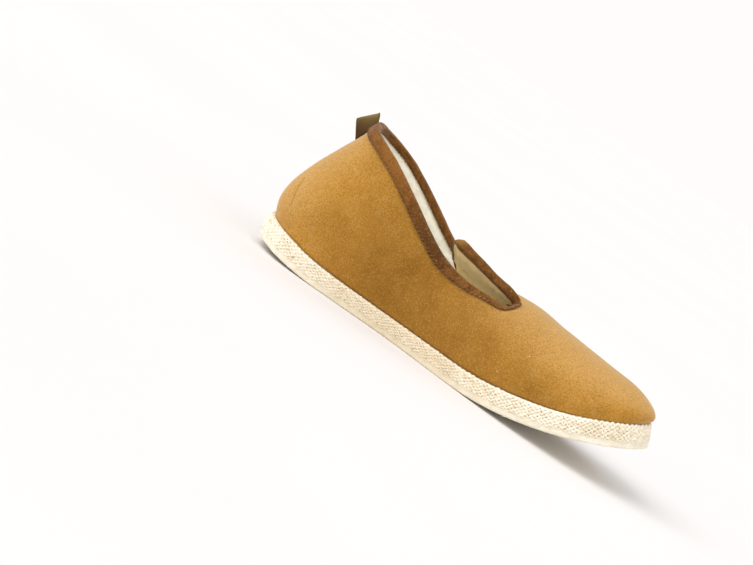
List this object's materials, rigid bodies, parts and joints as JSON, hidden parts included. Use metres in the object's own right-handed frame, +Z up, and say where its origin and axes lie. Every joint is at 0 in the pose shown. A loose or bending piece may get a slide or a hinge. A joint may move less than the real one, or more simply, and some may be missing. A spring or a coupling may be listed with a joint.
{
  "type": "leather slipper",
  "caption": "Low suede house slipper with a one-piece vamp and tongue, bound collar, braided sole edge and felt outsole.",
  "frame": {"origin": "on the floor, under the middle of the slipper's box", "axes": "+X from heel to toe, +Y to the wearer's left, +Z up"},
  "size_m": [0.2752, 0.0982, 0.1077],
  "materials": {
    "sole_felt": "pressed cream wool felt, matt",
    "braided_cord": "cream cord with beige flecks, braided",
    "tan_suede": "tan suede with a short nap",
    "brown_suede": "dark brown suede tape",
    "fleece": "cream fleece with a short pile",
    "ribbon": "dark olive brown woven ribbon"
  },
  "bodies": {
    "root": {"outsole": "sole_felt", "midsole": "braided_cord", "upper": "tan_suede", "collar_binding": "brown_suede", "insole": "fleece", "pull_loop": "ribbon"}
  },
  "joints": []
}
